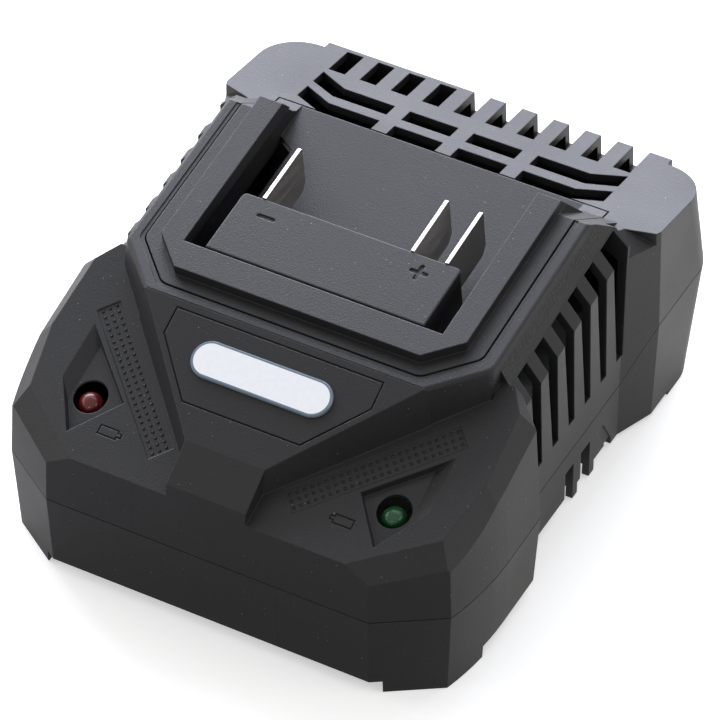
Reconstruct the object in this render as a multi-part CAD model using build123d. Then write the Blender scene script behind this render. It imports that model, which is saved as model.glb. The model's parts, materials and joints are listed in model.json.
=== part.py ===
from build123d import *
from math import atan, cos, degrees, radians, tan
import os

# Battery charger, millimetres. X to the right, Y to the rear, Z up, standing on Z = 0.
# Lengths along Y are measured from the front wall and moved to the centre when written out.

CENTRE_Y = 65.1
WALL = 2.0
SEAM_GAP = 0.25
FIT = 0.3

# Seam heights of the three parts of the housing
SEAM_WING = 21.2
SEAM_WAIST = 15.5
SEAM_REAR = 27.1
SEAM_STEP_Y = 45.0
SEAM_STEP_RUN = 5.0
SKIRT_DRAFT = 3.0
HOOD_DRAFT = 3.0
FOOT = 3.2

# Plan outlines, right half, from front to rear
WAIST_X = 48.1
WAIST_FRONT = 46.5
CHEEK_Y = 92.1
CHEEK_ROOT = (44.8, 84.0)
REAR_CORNER_Y = 101.5
WING_NOSE = (37.5, 0.0)
WING_CORNER = (51.4, 9.2)
WING_BULGE = (53.6, 19.5)
WING_SIDE = (54.2, 29.0)
WING_REAR = (54.1, 43.3)
WING_TUCK = (WAIST_X, 48.2)

# Rear block, widest at the seam: height, half width, rear edge and corner radius of its sections
REAR_SECTIONS = [
    (0.0, 51.65, 125.7, 10.0),
    (SEAM_REAR, 52.45, 130.2, 9.0),
    (56.0, 51.76, 124.9, 10.0),
]
TAIL_X = 41.5
TAIL_TOP = (128.4, 48.8)
TAIL_EDGE = REAR_SECTIONS[1][2]
INLET_WALL = 128.8

# Panel beside the hood
PANEL_FRONT_Y = 0.8
PANEL_FRONT_Z = 34.6
PANEL_RISE = 0.365
FACETS = [
    ((32.3, 1.1, 34.7), (47.8, 12.1, 38.7), (37.3, 0.3, 30.9)),
    ((47.8, 12.1, 38.7), (50.4, 25.7, 43.7), (50.7, 10.0, 34.0)),
    ((50.4, 25.7, 43.7), (49.4, 41.8, 49.6), (52.8, 25.2, 40.5)),
    ((45.1, 47.7, 51.75), (49.4, 41.8, 49.6), (52.9, 42.2, 45.8)),
]

# Hood
RIDGE_X = 9.2
RIDGE_Y = 8.9
RIDGE_Z = 43.2
HOOD_RISE = 0.51
NOSE_Y = 0.86
NOSE_Z = 37.6
HOOD_CORNER = (32.2, 33.1)
HOOD_FOOT = (30.0, 29.1, 44.9)

# Battery bay, built level and then tipped up towards the rear
BAY_TIP = 8.0
BAY_SLOPE = tan(radians(BAY_TIP))
BAY_Y = 48.0
BAY_Z = 60.2
RIM_IN_X = 30.0
RIM_OUT_X = 35.4
RIM_FRONT_IN = -2.7
RIM_FRONT_OUT = -9.6
RIM_CUT_X = 28.4
LEDGE_DROP = 2.4
INSERT_X = 39.4
INSERT_FRONT = -12.9
INSERT_CUT_X = 29.9
INSERT_END_Y = 102.0
INSERT_CORNER = 3.0
INSERT_LIP = 0.2
INSERT_LIP_TALL = 1.0
INSERT_LIP_REAR = 84.0
CHANNEL_WIDE = 0.85
CHANNEL_DEEP = 0.22
FLANGE_X = 42.6
FLANGE_FRONT = -15.1
FLANGE_CUT_X = 32.6
FLANGE_CORNER = 3.5
FLANGE_ROUND = 1.0
FLANGE_REAR_Y = 85.8
COLLAR_FLARE = -11.0
COLLAR_DEEP = 14.0
REAR_FALL = 0.72
RIM_FALL = 1.06
RIM_END = (87.1, 65.8)
LIP_DEEP = 3.6
UNDERCUT_X = 33.6
FLOOR_DROP = 14.85
FLOOR_WALL = 2.0
GUIDE_X = 29.6
GUIDE_LONG = 41.9
GUIDE_SLANT = 2.6
TIP_X = 44.6
TIP_DROP = 8.8
WAIST_TOP_DROP = 3.0
LEDGE_EDGE_DROP = 5.4

# The side wall of the waist leans out below the tip and turns upright on a rising line
SHOULDER_X = 48.45
SHOULDER = (53.8, 47.95)
SHOULDER_RISE = 0.157
WAIST_SECTIONS = (40.0, 100.0)

# Deck behind the bay
DECK_Y = 100.0
DECK_Z = 53.2
DECK_FALL = 0.17
DECK_FRONT_EDGE = 101.0
CHEEK_FOOT = ((WAIST_X, CHEEK_Y, 51.0), (51.6, 100.9, 50.1))
CHEEK_TOP = ((44.8, 98.1, 53.5), (52.2, 100.5, 53.15))

# Vents
VENT_ROWS = [(109.2, 113.3), (102.2, 106.2)]
VENT_IN = (1.85, 13.5)
VENT_OUT = (17.15, 30.2)
VENT_TAIL_X = 36.6
VENT_TAIL_SHIFT = 3.0
VENT_TAIL_GROW = 0.6
VENT_CUT = 0.7
COMB_PITCH = 7.62
COMB_WIDE = 3.95
COMB_FRONT = 118.5
COMB_CLOSED_REAR = 127.2
COMB_OPEN_REAR = 132.0
COMB_DROP = 5.5
COMB_CLOSED = 4
COMB_COUNT = 10
SIDE_SLOTS = 6
SIDE_SLOT_FIRST = 52.9
SIDE_SLOT_PITCH = 7.42
SIDE_SLOT_LOW = 24.0
SIDE_SLOT_OVER = 12.0
SIDE_SLOT_FOOT = (0.0, 2.6)
SIDE_SLOT_BEND = (-3.9, 0.4)
SIDE_SLOT_HEAD = (-2.3, 1.3)
SIDE_SLOT_LAST_REAR = 92.6
SIDE_SLOT_X = 47.5
SIDE_SLOT_DEEP = 12.0
SKIRT_SLOTS = [(67.2, 71.0), (74.5, 78.7)]
SKIRT_SLOT_TOP = 10.5
SKIRT_LIPS = [(71.0, 73.2), (78.7, 81.0)]
SKIRT_LIP_THICK = 1.6
SKIRT_LIP_FOOT = 0.3
SKIRT_BAND = [(82.0, 10.0), (85.0, 10.0), (89.0, FOOT), (86.0, FOOT)]
SKIRT_BAND_DEEP = 0.35
FLANK_FOOT = 1.2
FLANK_FRONT = 89.0
REAR_FOOT_FRONT = 109.7
WING_FOOT_REAR = 21.0

# Lamps
LAMP_X = 35.2
LAMP_Y = 15.3
LAMP_D = 5.4
LAMP_FLANGE_D = 6.0
LAMP_HOLE_D = 7.3
LAMP_TOP_Z = 38.7
LAMP_TALL = 8.8
KITE = [(42.0, 28.8), (42.4, 16.3), (35.45, 5.8), (27.4, 15.4)]
KITE_DEEP = 1.5
KITE_SLOPE_WIDE = 3.0
KITE_DRAFT = 16.0

# Battery mark and grip strip on the panel
BATTERY_AT = (27.2, 8.65)
BATTERY_LONG = 4.5
BATTERY_WIDE = 2.3
BATTERY_NUB = 0.9
BATTERY_LINE = 0.3
BATTERY_DEEP = 0.3
GRIP = [(39.5, 35.2), (43.1, 31.5), (16.6, 6.4), (12.8, 10.4)]
GRIP_DEEP = 0.22

# Badge and the groove round it on the hood
BADGE_FIELD = [(24.0, 31.9), (24.1, 26.3), (13.6, 15.3)]
BADGE_GROOVE_WIDE = 0.35
BADGE_GROOVE_DEEP = 0.5
BADGE_LONG = 32.0
BADGE_HIGH = 8.2
BADGE_THICK = 0.8
BADGE_Y = 24.4
BADGE_EDGE = 0.25

# Contact block and blades
BLOCK_X = 25.4
BLOCK_FRONT = -2.1
BLOCK_REAR = 14.6
BLOCK_DROP = 0.3
MARK_X = 17.8
MARK_Y = 10.1
MARK_LONG = 4.3
MARK_WIDE = 1.0
MARK_DEEP = 0.35
BLADE_XS = (-20.6, 14.0, 21.9)
BLADE_THICK = 0.8
BLADE_TALL = 11.9
BLADE_TOP = -0.1
BLADE_OUT = 15.5
BLADE_ROOT = 6.0
BLADE_ROOT_DROP = 1.8
BLADE_CORNER = 1.8
BLADE_TIP_ROUND = 0.5

# Circuit board and what stands on it
BOARD_X = 84.0
BOARD_FRONT = 12.0
BOARD_REAR = 112.0
BOARD_THICK = 1.6
BOARD_Z = 10.5
BOARD_TOP = BOARD_Z + BOARD_THICK
BOARD_SCREWS = [(-36.0, 50.0), (36.0, 50.0), (-36.0, 97.0), (36.0, 97.0)]
SCREW_SHANK_D = 2.6
SCREW_HEAD_D = 5.2
SCREW_HEAD_TALL = 1.8
STANDOFF_D = 6.0
HOUSING_SCREWS = [(-46.5, 33.0), (46.5, 33.0), (-46.0, 112.0), (46.0, 112.0)]
POST_D = 7.0
POST_BORE_D = 2.9
BOSS_TOP = 14.0
HEAD_POCKET_D = 6.4
HEAD_POCKET_DEEP = 6.0

# Mains inlet in the rear wall
INLET_X = -22.0
INLET_Z = 18.5
INLET_WIDE = 17.4
INLET_TALL = 10.2
INLET_DEEP = 15.0
INLET_FACE_WIDE = 20.5
INLET_FACE_TALL = 13.2
INLET_FACE_THICK = 1.6
INLET_SUNK = 2.0
INLET_SEAT_Y = INLET_WALL - INLET_SUNK
PIN_PITCH = 8.6
PIN_LONG = 18.0
PIN_OUT = 1.5
LEAD_RUN = 2.5

# Fuse, in line with the inlet
FUSE_X = -30.5
FUSE_Y = INLET_SEAT_Y - 23.4
FUSE_Z = BOARD_TOP + 4.2

# Transformer, choke, heat sinks (x, y, length, height) and the smaller parts beside them
CORE_X = 26.0
CORE_Y = 30.0
CORE_TALL = 26.0
CORE_AT = (-1.0, 66.0)
LEG = 6.0
CHOKE_AT = (-2.0, 97.0)
CLIP_Z = BOARD_TOP + 17.0
SINK_IN = (24.0, 80.0, 26.0, 28.0)
SINK_OUT = (24.0, 36.0, 20.0, 24.0)

BULK_CAN = (-24.0, 78.0, 9.0, 30.0)
OUTPUT_CANS = [(-26.0, 34.0, 5.0, 16.0), (-26.0, 46.5, 5.0, 16.0)]
LINE_BOX = (-19.0, 95.0, 8.0, 14.0, 13.0)
BRIDGE = (17.7, 101.0, 15.0, 4.6, 10.5)
BRIDGE_PITCH = 3.8
CHIPS = [(2.0, 34.0, 6.4, 9.6), (-8.0, 26.0, 6.4, 4.6)]
CHIP_TALL = 3.2
CHIP_PITCH = 2.4

PANEL_TIP = degrees(atan(PANEL_RISE))
HOOD_TIP = degrees(atan(HOOD_RISE))
BAY = Pos(0, BAY_Y, BAY_Z) * Rot(BAY_TIP, 0, 0)
LOW = (Align.CENTER, Align.CENTER, Align.MIN)
HIGH = (Align.CENTER, Align.CENTER, Align.MAX)


def both_sides(half):
    return half + [(-x, y) for x, y in reversed(half)]


def plan_face(half, inset=0.0):
    face = make_face(Polyline(*both_sides(half), close=True))
    if inset:
        face = offset(face, amount=-inset, kind=Kind.INTERSECTION)
    return face


def wing_face(inset=0.0):
    """Plan of the front wings. The sides bulge outside and are straight inside."""
    if inset:
        return plan_face([WING_NOSE, WING_CORNER, WING_BULGE, WING_SIDE, WING_REAR, WING_TUCK], inset)
    nose, corner, bulge, side, rear, tuck = (
        Vector(*p) for p in (WING_NOSE, WING_CORNER, WING_BULGE, WING_SIDE, WING_REAR, WING_TUCK)
    )
    right = [Line(nose, corner), ThreePointArc(corner, bulge, side), Line(side, rear), Line(rear, tuck)]
    left = [mirror(edge, Plane.YZ) for edge in right]
    front = Line((-nose.X, nose.Y), (nose.X, nose.Y))
    back = Line((-tuck.X, tuck.Y), (tuck.X, tuck.Y))
    return make_face(right + left + [front, back])


def half_face(half):
    return lambda inset=0.0: plan_face(half, inset)


def prism(face_of, low, high, inset=0.0):
    face = Pos(0, 0, low) * face_of(inset)
    return extrude(face, amount=high - low, dir=(0, 0, 1))


def skirt(face_of, low, high, inset=0.0):
    """Wall that leans inwards as it goes down."""
    face = Pos(0, 0, high) * face_of(inset)
    return extrude(face, amount=high - low, dir=(0, 0, -1), taper=SKIRT_DRAFT)


def below(shape, a, b, c, inset=0.0):
    """Keeps what lies under the plane through three points."""
    a, b, c = Vector(*a), Vector(*b), Vector(*c)
    up = (b - a).cross(c - a).normalized()
    if up.Z < 0:
        up = up * -1
    cut = Plane(origin=a - up * inset, x_dir=(b - a).normalized(), z_dir=up)
    return shape & (cut * Box(400, 400, 300, align=HIGH))


def above(shape, a, b, c):
    """Keeps what lies over the plane through three points."""
    a, b, c = Vector(*a), Vector(*b), Vector(*c)
    up = (b - a).cross(c - a).normalized()
    if up.Z < 0:
        up = up * -1
    cut = Plane(origin=a, x_dir=(b - a).normalized(), z_dir=up)
    return shape & (cut * Box(400, 400, 300, align=LOW))


def flipped(points):
    return [(-x, y, z) for x, y, z in points]


def below_slope(shape, y, z, rise, inset=0.0):
    return below(shape, (0, y, z), (10, y, z), (0, y + 10, z + 10 * rise), inset)


def waist_face(inset=0.0):
    return plan_face([(WAIST_X, 40.0), (WAIST_X, CHEEK_Y)], inset)


def rear_section(n, inset):
    """Plan of the rear block at one of its heights, with the two rear corners rounded."""
    z, side_x, rear, radius = REAR_SECTIONS[n]
    half = [CHEEK_ROOT, (WAIST_X, CHEEK_Y), (side_x, REAR_CORNER_Y), (side_x, rear)]
    face = plan_face(half, inset)
    corners = face.vertices().group_by(Axis.Y)[-1]
    return Pos(0, 0, z) * fillet(corners, radius - inset)


def rear_block(first, last, inset):
    sections = [rear_section(n, inset) for n in range(first, last + 1)]
    return loft([section.faces()[0] for section in sections], ruled=True)


def wing_body(inset=0.0):
    base = Pos(0, 0, SEAM_WING) * wing_face(inset)
    body = extrude(base, amount=40, dir=(0, 0, 1), taper=HOOD_DRAFT)
    body += prism(wing_face, 0, SEAM_WING, inset)
    body = below_slope(body, PANEL_FRONT_Y, PANEL_FRONT_Z, PANEL_RISE, inset)
    for facet in FACETS:
        body = below(body, *facet, inset)
        body = below(body, *flipped(facet), inset)
    return body


def on_hood(y):
    return RIDGE_Z + HOOD_RISE * (y - RIDGE_Y)


def hood_body(inset=0.0):
    flange_y = BAY_Y + FLANGE_FRONT
    nose = prism(half_face([(RIDGE_X, 0), (RIDGE_X, RIDGE_Y + 8)]), 0, 70, inset)
    front = ((0, 0, SEAM_WING), (10, 0, SEAM_WING), (0, NOSE_Y, NOSE_Z))
    nose = below(nose, *front, inset)
    wide = prism(half_face([(44.0, RIDGE_Y - 6), (44.0, flange_y + 0.4)]), 0, 70)
    corner_x, corner_y = HOOD_CORNER
    side = ((RIDGE_X, RIDGE_Y, RIDGE_Z), (corner_x, corner_y, on_hood(corner_y)), HOOD_FOOT)
    wide = below(wide, *side, inset)
    wide = below(wide, *flipped(side), inset)
    body = nose + wide
    body = below_slope(body, RIDGE_Y, RIDGE_Z, HOOD_RISE, inset)
    nose_rise = (RIDGE_Z - NOSE_Z) / (RIDGE_Y - NOSE_Y)
    return below_slope(body, NOSE_Y, NOSE_Z, nose_rise, inset)


def collar_plan(front, cut_x, out_x, rear):
    return [(cut_x, front), (out_x, front + out_x - cut_x), (out_x, rear)]


def upright_edges(body, x, y_max):
    """Upright edges at the cut corners of a bay-shaped solid."""
    tall = [e for e in body.edges() if abs(e.tangent_at(0.5).Z) > 0.7]
    return [e for e in tall if e.center().Y < y_max and abs(e.center().X) > x]


def collar_body(inset=0.0):
    """Raised surround of the bay. Its front and cut corners flare out as they go down."""
    half = collar_plan(FLANGE_FRONT, FLANGE_CUT_X, FLANGE_X, 56)
    face = Pos(0, 0, -LEDGE_DROP - inset) * plan_face(half, inset)
    body = extrude(face, amount=COLLAR_DEEP, dir=(0, 0, -1), taper=COLLAR_FLARE)
    if inset == 0:
        body = fillet(upright_edges(body, FLANGE_CUT_X + 4, 10), FLANGE_CORNER)
        rim = [e for e in body.faces().sort_by(Axis.Z)[-1].edges() if e.center().Y < 50]
        sides = [e for e in rim if e.center().Y > FLANGE_FRONT + 0.5]
        body = fillet(sides, FLANGE_ROUND)
    body = body & Box(2 * (FLANGE_X - inset), 300, 100)
    return rear_slope(BAY * body, inset)


def flange_level(y):
    return bay_level(y) - LEDGE_DROP


def rear_slope(shape, inset=0.0):
    """Slope from the rear end of the collar down to the deck."""
    return below_slope(shape, FLANGE_REAR_Y, flange_level(FLANGE_REAR_Y), -REAR_FALL, inset)


def bay_level(y):
    return BAY_Z + (y - BAY_Y) * BAY_SLOPE


def shoulder_level(y):
    return SHOULDER[1] + SHOULDER_RISE * (y - SHOULDER[0])


def waist_section(y, inset):
    level = bay_level(y)
    profile = [
        (FLANGE_X, level - WAIST_TOP_DROP),
        (FLANGE_X, level - LEDGE_EDGE_DROP),
        (TIP_X, level - TIP_DROP),
        (SHOULDER_X, shoulder_level(y)),
        (WAIST_X, SEAM_WAIST),
        (WAIST_X, 0.0),
    ]
    pts = [Vector(x, 0, z) for x, z in profile] + [Vector(-x, 0, z) for x, z in reversed(profile)]
    face = make_face(Polyline(*pts, close=True))
    if inset:
        face = offset(face, amount=-inset, kind=Kind.INTERSECTION)
    return Pos(0, y, 0) * face


def waist_body(inset=0.0):
    body = loft([waist_section(y, inset).faces()[0] for y in WAIST_SECTIONS], ruled=True)
    # the hollow runs on into the wings
    front = WAIST_FRONT - 3 * inset
    window = prism(half_face([(60, front), (60, CHEEK_Y + 1.5)]), -10, 90, inset)
    return rear_slope(body & window, inset)


def tail_body(inset=0.0):
    """Middle of the rear end, which stands out from the corners towards the top."""
    top_y, top_z = TAIL_TOP
    body = prism(half_face([(TAIL_X, REAR_CORNER_Y), (TAIL_X, TAIL_EDGE)]), SEAM_REAR, 70, inset)
    return below(body, (0, TAIL_EDGE, SEAM_REAR), (10, TAIL_EDGE, SEAM_REAR), (0, top_y, top_z), inset)


def rear_body(inset=0.0):
    body = rear_block(0, 2, inset) + tail_body(inset)
    body = below_slope(body, DECK_Y, DECK_Z, -DECK_FALL, inset)
    bevel = (*CHEEK_FOOT, CHEEK_TOP[0])
    low = below(body, *bevel, inset)
    low = below(low, *flipped(bevel), inset)
    (x1, y1, _), (x2, y2, _) = CHEEK_TOP
    run = (y2 - y1) / (x2 - x1)
    shoulder = [(x1, y1), (x1 + 12, y1 + 12 * run), (x1 + 12, 140)]
    block = prism(half_face(shoulder), SEAM_REAR + 5, 70, inset)
    return low + (body & block)


def upper_body(inset=0.0):
    body = wing_body(inset) + hood_body(inset) + collar_body(inset)
    return body + waist_body(inset) + rear_body(inset)


def lower_body(inset=0.0, base=FOOT):
    top = SEAM_REAR + 4
    body = skirt(wing_face, base, SEAM_WING, inset) + prism(wing_face, SEAM_WING, top, inset)
    body += prism(waist_face, base, top, inset)
    rear = rear_block(0, 2, inset) & (Pos(0, 100, base) * Box(200, 100, top - base, align=LOW))
    if base < 0:
        rear += extrude(rear_section(0, inset), amount=-base, dir=(0, 0, -1))
    return body + rear


def over_seam(shift=0.0):
    """Everything above the stepped seam."""
    line = [
        (-10, SEAM_WING),
        (SEAM_STEP_Y, SEAM_WING),
        (SEAM_STEP_Y + SEAM_STEP_RUN, SEAM_WAIST),
        (CHEEK_Y, SEAM_WAIST),
        (REAR_CORNER_Y, SEAM_REAR),
        (160, SEAM_REAR),
    ]
    pts = [Vector(-90, y, z + shift) for y, z in line] + [Vector(-90, 160, 120), Vector(-90, -10, 120)]
    face = make_face(Polyline(*pts, close=True))
    return extrude(face, amount=180, dir=(1, 0, 0))


def on_panel(y):
    return PANEL_FRONT_Z + PANEL_RISE * (y - PANEL_FRONT_Y)


def on_deck(y):
    return DECK_Z - DECK_FALL * (y - DECK_Y)


def on_slope(outline, side, y, z, tip):
    """Face drawn in plan and laid on a slope that starts at y, z and rises by the tip angle."""
    face = make_face(Polyline(*[(side * px, (py - y) / cos(radians(tip))) for px, py in outline], close=True))
    return Pos(0, y, z) * Rot(tip, 0, 0), face


def sunk(outline, side, deep, draft=0.0):
    """Pocket of even depth in the panel."""
    slope, face = on_slope(outline, side, PANEL_FRONT_Y, PANEL_FRONT_Z, PANEL_TIP)
    body = extrude(face, amount=deep, dir=(0, 0, -1), taper=draft)
    return slope * (body + extrude(face, amount=5, dir=(0, 0, 1)))


def kite_pocket(side):
    """Pocket round a lamp, with drafted walls and one side sloping."""
    pocket = sunk(KITE, side, KITE_DEEP, KITE_DRAFT)
    (ax, ay), (bx, by) = KITE[0], KITE[1]
    slope = ((ax, ay, on_panel(ay)), (bx, by, on_panel(by)))
    foot = (bx - KITE_SLOPE_WIDE, by, on_panel(by) - KITE_DEEP)
    plane = (*slope, foot)
    pocket = above(pocket, *(plane if side > 0 else flipped(plane)))
    hole = Pos(side * LAMP_X, LAMP_Y, 20) * Cylinder(LAMP_HOLE_D / 2, 40, align=LOW)
    return pocket + hole


def badge_groove():
    """Narrow groove round the badge field."""
    slope, face = on_slope(both_sides(BADGE_FIELD), 1, RIDGE_Y, RIDGE_Z, HOOD_TIP)
    ring = face - offset(face, amount=-BADGE_GROOVE_WIDE, kind=Kind.INTERSECTION)
    return slope * (Pos(0, 0, -BADGE_GROOVE_DEEP) * extrude(ring, amount=5, dir=(0, 0, 1)))


def battery_mark(side):
    """Outline of a battery cell, its nub towards the middle, pressed into the panel."""
    x, y = BATTERY_AT
    line = 2 * BATTERY_LINE
    nub_x = -side * BATTERY_LONG / 2
    cell = Box(BATTERY_LONG, BATTERY_WIDE, 2 * BATTERY_DEEP)
    cell += Pos(nub_x, 0, 0) * Box(2 * BATTERY_NUB, BATTERY_WIDE / 2, 2 * BATTERY_DEEP)
    inner = Box(BATTERY_LONG - line, BATTERY_WIDE - line, 1)
    inner += Pos(nub_x, 0, 0) * Box(2 * BATTERY_NUB - line, BATTERY_WIDE / 2 - line, 1)
    return Pos(side * x, y, on_panel(y)) * Rot(PANEL_TIP, 0, 0) * (cell - inner)


def deck_vents():
    cuts = []
    for front, rear in VENT_ROWS:
        for side in (-1, 1):
            near, far = VENT_IN
            slots = [[(near, front), (far, front), (far, rear), (near, rear)]]
            near, far = VENT_OUT
            tail = VENT_TAIL_SHIFT
            slots.append([
                (near, front), (far, front), (VENT_TAIL_X, front + tail),
                (VENT_TAIL_X, rear + tail + VENT_TAIL_GROW), (far - VENT_CUT, rear), (near, rear),
            ])
            for pts in slots:
                face = make_face(Polyline(*[(side * x, y) for x, y in pts], close=True))
                cuts.append(extrude(Pos(0, 0, 44) * face, amount=14, dir=(0, 0, 1)))
    first = -COMB_PITCH * (COMB_COUNT - 1) / 2
    for n in range(COMB_COUNT):
        x = first + n * COMB_PITCH
        closed = n < COMB_CLOSED
        rear = COMB_CLOSED_REAR if closed else COMB_OPEN_REAR
        low = on_deck(TAIL_TOP[0]) - COMB_DROP
        box = Box(COMB_WIDE, rear - COMB_FRONT, 14, align=(Align.CENTER, Align.MIN, Align.MIN))
        cuts.append(Pos(x, COMB_FRONT, low) * box)
    return cuts


def side_slots():
    """Leaning slots that bend at the shoulder. The last one runs straight up beside the cheek."""
    cuts = []
    for n in range(SIDE_SLOTS):
        y = SIDE_SLOT_FIRST + n * SIDE_SLOT_PITCH
        bend_z = shoulder_level(y + SIDE_SLOT_BEND[0])
        levels = [SIDE_SLOT_LOW, bend_z, bend_z + SIDE_SLOT_OVER]
        steps = [SIDE_SLOT_FOOT, SIDE_SLOT_BEND, SIDE_SLOT_HEAD]
        front = [Vector(0, y + step[0], z) for step, z in zip(steps, levels)]
        rear = [Vector(0, y + step[1], z) for step, z in zip(steps, levels)]
        if n == SIDE_SLOTS - 1:
            rear = [Vector(0, SIDE_SLOT_LAST_REAR, z) for z in levels]
        pts = front + rear[::-1]
        face = make_face(Polyline(*pts, close=True))
        for side in (-1, 1):
            start = side * SIDE_SLOT_X - SIDE_SLOT_DEEP / 2
            cuts.append(Pos(start, 0, 0) * extrude(face, amount=SIDE_SLOT_DEEP, dir=(1, 0, 0)))
    roof = BAY * (Pos(0, 20, -TIP_DROP - 0.2) * Box(140, 140, 60, align=HIGH))
    return [cut & roof for cut in cuts]


def post_tops():
    """Posts of the top cover, reaching down to the bosses of the bottom cover."""
    posts = []
    for x, y in HOUSING_SCREWS:
        posts.append(Pos(x, y, BOSS_TOP + 0.2) * Cylinder(POST_D / 2, 60, align=LOW))
    return posts


def post_bores():
    return [Pos(x, y, BOSS_TOP - 1) * Cylinder(POST_BORE_D / 2, 14, align=LOW) for x, y in HOUSING_SCREWS]


def insert_outline(grow, low, high):
    """Upright prism on the outline of the bay insert, tipped with the bay."""
    half = collar_plan(INSERT_FRONT - grow, INSERT_CUT_X + grow * 0.41, INSERT_X + grow, 70)
    body = Pos(0, 0, low) * extrude(plan_face(half), amount=high - low, dir=(0, 0, 1))
    return fillet(upright_edges(body, 20, 10), INSERT_CORNER)


def before(shape, y):
    """Keeps what lies in front of an upright plane."""
    return shape & (Pos(0, y, 0) * Box(300, 400, 400, align=(Align.CENTER, Align.MAX, Align.CENTER)))


def main_solid(shape):
    return shape.solids().sort_by(SortBy.VOLUME)[-1]


def top_cover():
    outer = upper_body()
    room = upper_body(WALL)
    shell = outer - room
    for post in post_tops():
        shell += post & outer
    for bore in post_bores():
        shell -= bore
    shell = shell & over_seam(SEAM_GAP / 2)
    # rebate for the tongue of the bottom cover
    shell -= tongue(FIT / 2)
    # opening for the bay insert, with a shallow channel round it
    shell -= before(BAY * insert_outline(0, -30, 30), INSERT_END_Y + FIT)
    shell -= before(BAY * insert_outline(CHANNEL_WIDE, -LEDGE_DROP - CHANNEL_DEEP, 2), FLANGE_REAR_Y)
    for side in (-1, 1):
        shell -= kite_pocket(side)
        shell -= sunk(GRIP, side, GRIP_DEEP)
        shell -= battery_mark(side)
    shell -= badge_groove()
    for cut in deck_vents() + side_slots():
        shell -= cut
    return main_solid(shell)


def tongue(grow=0.0):
    """Lip of the bottom cover that closes the seam from inside."""
    thin = WALL - 0.9
    band = over_seam(-3) - over_seam(1.4 + grow)
    ring = lower_body(thin - grow) - lower_body(WALL)
    return ring & band


def under_floor():
    """Hollow under the floor, which leaves a lip down to the ground round each corner."""
    slab = Pos(0, 60, FOOT) * Box(200, 300, 20, align=HIGH)
    inside = lower_body(WALL, -5) & slab
    ends = [(-2.0, WING_FOOT_REAR, 21.0, 0.0), (FLANK_FRONT, REAR_FOOT_FRONT, 24.0, FLANK_FOOT)]
    ends.append((REAR_FOOT_FRONT, REAR_FOOT_FRONT + 30, 24.0, 0.0))
    hollows = []
    middle = slab
    for side in (-1, 1):
        for front, rear, wide, foot in ends:
            box = Box(wide, rear - front, 30, align=(Align.CENTER, Align.MIN, Align.MAX))
            corner = Pos(side * 50, front, FOOT) * box
            middle -= corner
            hollows.append(inside & corner)
            if foot:
                hollows.append(corner & (Pos(0, 60, foot) * Box(200, 300, 30, align=HIGH)))
    return [middle] + hollows


def bosses():
    """Screw bosses and board standoffs rising from the floor."""
    rise = BOSS_TOP - FOOT
    solids = [Pos(x, y, FOOT) * Cylinder(POST_D / 2 + 0.8, rise, align=LOW) for x, y in HOUSING_SCREWS]
    rise = BOARD_Z - FOOT
    solids += [Pos(x, y, FOOT) * Cylinder(STANDOFF_D / 2, rise, align=LOW) for x, y in BOARD_SCREWS]
    return solids


def bottom_cover():
    outer = lower_body(0.0, 0.0)
    shell = outer - lower_body(WALL, FOOT + WALL)
    shell = shell - over_seam(-SEAM_GAP / 2)
    shell += tongue()
    for hollow in under_floor():
        shell -= hollow
    for boss in bosses():
        shell += boss & outer
    for side in (-1, 1):
        for front, rear in SKIRT_LIPS:
            tall = FOOT + 1 - SKIRT_LIP_FOOT
            block = Box(SKIRT_LIP_THICK, rear - front, tall, align=(Align.CENTER, Align.MIN, Align.MIN))
            shell += Pos(side * (WAIST_X - SKIRT_LIP_THICK / 2), front, SKIRT_LIP_FOOT) * block
        for front, rear in SKIRT_SLOTS:
            block = Box(9, rear - front, SKIRT_SLOT_TOP + 2, align=(Align.CENTER, Align.MIN, Align.MIN))
            shell -= Pos(side * (WAIST_X - 1.0), front, -2) * block
        band = make_face(Polyline(*[Vector(0, y, z) for y, z in SKIRT_BAND], close=True))
        band = extrude(band, amount=2, dir=(side, 0, 0))
        shell -= Pos(side * (WAIST_X - SKIRT_BAND_DEEP), 0, 0) * band
    for x, y in HOUSING_SCREWS:
        shell -= Pos(x, y, -1) * Cylinder(1.6, 40, align=LOW)
        shell -= Pos(x, y, -1) * Cylinder(HEAD_POCKET_D / 2, FOOT + HEAD_POCKET_DEEP + 1, align=LOW)
    for x, y in BOARD_SCREWS:
        shell -= Pos(x, y, BOARD_Z - 6) * Cylinder(SCREW_SHANK_D / 2, 8, align=LOW)
    wide = INLET_WIDE + 2 * FIT
    tall = INLET_TALL + 2 * FIT
    pad = Box(INLET_FACE_WIDE + 5, 8, INLET_FACE_TALL + 1.8, align=(Align.CENTER, Align.MIN, Align.CENTER))
    shell += (Pos(INLET_X, INLET_SEAT_Y - WALL, INLET_Z) * pad) & outer
    shell -= Pos(INLET_X, INLET_SEAT_Y, INLET_Z) * Box(wide, 14, tall)
    # thickened, flat seat for the inlet flange
    near = (Align.CENTER, Align.MIN, Align.CENTER)
    seat = Box(INLET_FACE_WIDE + 2 * FIT, 6, INLET_FACE_TALL + 2 * FIT, align=near)
    shell -= Pos(INLET_X, INLET_SEAT_Y, INLET_Z) * seat
    return main_solid(shell)


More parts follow.
